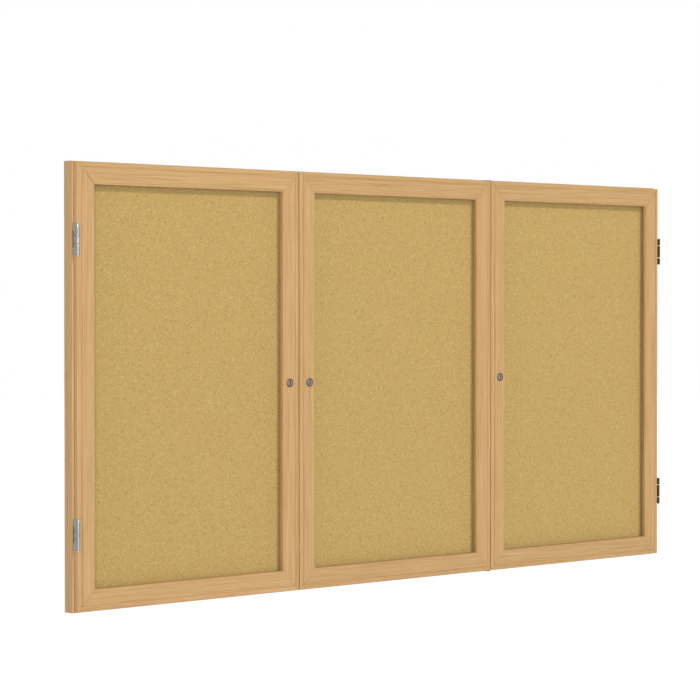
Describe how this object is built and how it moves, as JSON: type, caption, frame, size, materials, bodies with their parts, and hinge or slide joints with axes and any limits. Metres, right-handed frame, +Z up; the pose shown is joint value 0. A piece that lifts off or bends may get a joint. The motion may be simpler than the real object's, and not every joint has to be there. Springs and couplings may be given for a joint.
{
  "type": "lockable notice board",
  "caption": "Wall-hung notice case with an oak-finish frame, clear lockable hinged doors and cork panels behind them.",
  "frame": {"origin": "centre of the back, on the middle batten's rear face, in the plane that meets the wall", "axes": "+X along the width, to the right as seen from the front; +Y into the wall; +Z up"},
  "size_m": [1.8304, 0.0465, 0.9144],
  "materials": {
    "oak": "satin clear lacquer over light oak",
    "inner_wood": "plain sealed wood",
    "cork": "fine natural cork, matt",
    "hardboard": "smooth brown hardboard",
    "clear_pane": "clear polished acrylic",
    "hinge_steel": "plain satin steel",
    "lock_nickel": "satin nickel plate"
  },
  "bodies": {
    "case": {"case_top_rail": "oak", "case_bottom_rail": "oak", "case_left_side": "oak", "case_right_side": "oak", "mullion_left": "inner_wood", "mullion_right": "inner_wood", "strike_left": "hinge_steel", "strike_middle": "hinge_steel", "strike_right": "hinge_steel", "back_panel": "hardboard", "cork_left": "cork", "cork_middle": "cork", "cork_right": "cork", "batten_top": "inner_wood", "batten_middle": "inner_wood", "batten_bottom": "inner_wood", "pivot_top_bracket": "hinge_steel", "pivot_bottom_bracket": "hinge_steel", "hinge_left_upper_case_leaf": "hinge_steel", "hinge_left_upper_pin": "hinge_steel", "hinge_left_lower_case_leaf": "hinge_steel", "hinge_left_lower_pin": "hinge_steel", "hinge_right_upper_case_leaf": "hinge_steel", "hinge_right_upper_pin": "hinge_steel", "hinge_right_lower_case_leaf": "hinge_steel", "hinge_right_lower_pin": "hinge_steel"},
    "door_left": {"door_left_top_rail": "oak", "door_left_bottom_rail": "oak", "door_left_left_stile": "oak", "door_left_right_stile": "oak", "door_left_pane": "clear_pane", "lock_left_body": "lock_nickel", "lock_left_nut": "hinge_steel", "hinge_left_upper_door_leaf": "hinge_steel", "hinge_left_lower_door_leaf": "hinge_steel"},
    "lock_left_turn": {"lock_left_plug": "lock_nickel", "lock_left_cam": "hinge_steel", "lock_left_cam_screw": "hinge_steel"},
    "door_middle": {"door_middle_top_rail": "oak", "door_middle_bottom_rail": "oak", "door_middle_left_stile": "oak", "door_middle_right_stile": "oak", "door_middle_pane": "clear_pane", "lock_middle_body": "lock_nickel", "lock_middle_nut": "hinge_steel"},
    "lock_middle_turn": {"lock_middle_plug": "lock_nickel", "lock_middle_cam": "hinge_steel", "lock_middle_cam_screw": "hinge_steel"},
    "door_right": {"door_right_top_rail": "oak", "door_right_bottom_rail": "oak", "door_right_left_stile": "oak", "door_right_right_stile": "oak", "door_right_pane": "clear_pane", "lock_right_body": "lock_nickel", "lock_right_nut": "hinge_steel", "hinge_right_upper_door_leaf": "hinge_steel", "hinge_right_lower_door_leaf": "hinge_steel"},
    "lock_right_turn": {"lock_right_plug": "lock_nickel", "lock_right_cam": "hinge_steel", "lock_right_cam_screw": "hinge_steel"}
  },
  "joints": [
    {"name": "door_left_swing", "type": "hinge", "parent": "case", "child": "door_left", "pos_m": [-0.9128, -0.04408, 0], "axis": [0, 0, -1], "range_deg": [0, 170]},
    {"name": "door_middle_swing", "type": "hinge", "parent": "case", "child": "door_middle", "pos_m": [0.29847, -0.03678, 0], "axis": [0, 0, 1], "range_deg": [0, 90]},
    {"name": "door_right_swing", "type": "hinge", "parent": "case", "child": "door_right", "pos_m": [0.9128, -0.04408, 0], "axis": [0, 0, 1], "range_deg": [0, 170]},
    {"name": "lock_left_key_turn", "type": "hinge", "parent": "door_left", "child": "lock_left_turn", "pos_m": [-0.33389, -0.04127, -0.003], "axis": [0, -1, 0], "range_deg": [0, 90]},
    {"name": "lock_middle_key_turn", "type": "hinge", "parent": "door_middle", "child": "lock_middle_turn", "pos_m": [-0.27504, -0.04127, -0.003], "axis": [0, 1, 0], "range_deg": [0, 90]},
    {"name": "lock_right_key_turn", "type": "hinge", "parent": "door_right", "child": "lock_right_turn", "pos_m": [0.33389, -0.04127, -0.003], "axis": [0, 1, 0], "range_deg": [0, 90]}
  ]
}
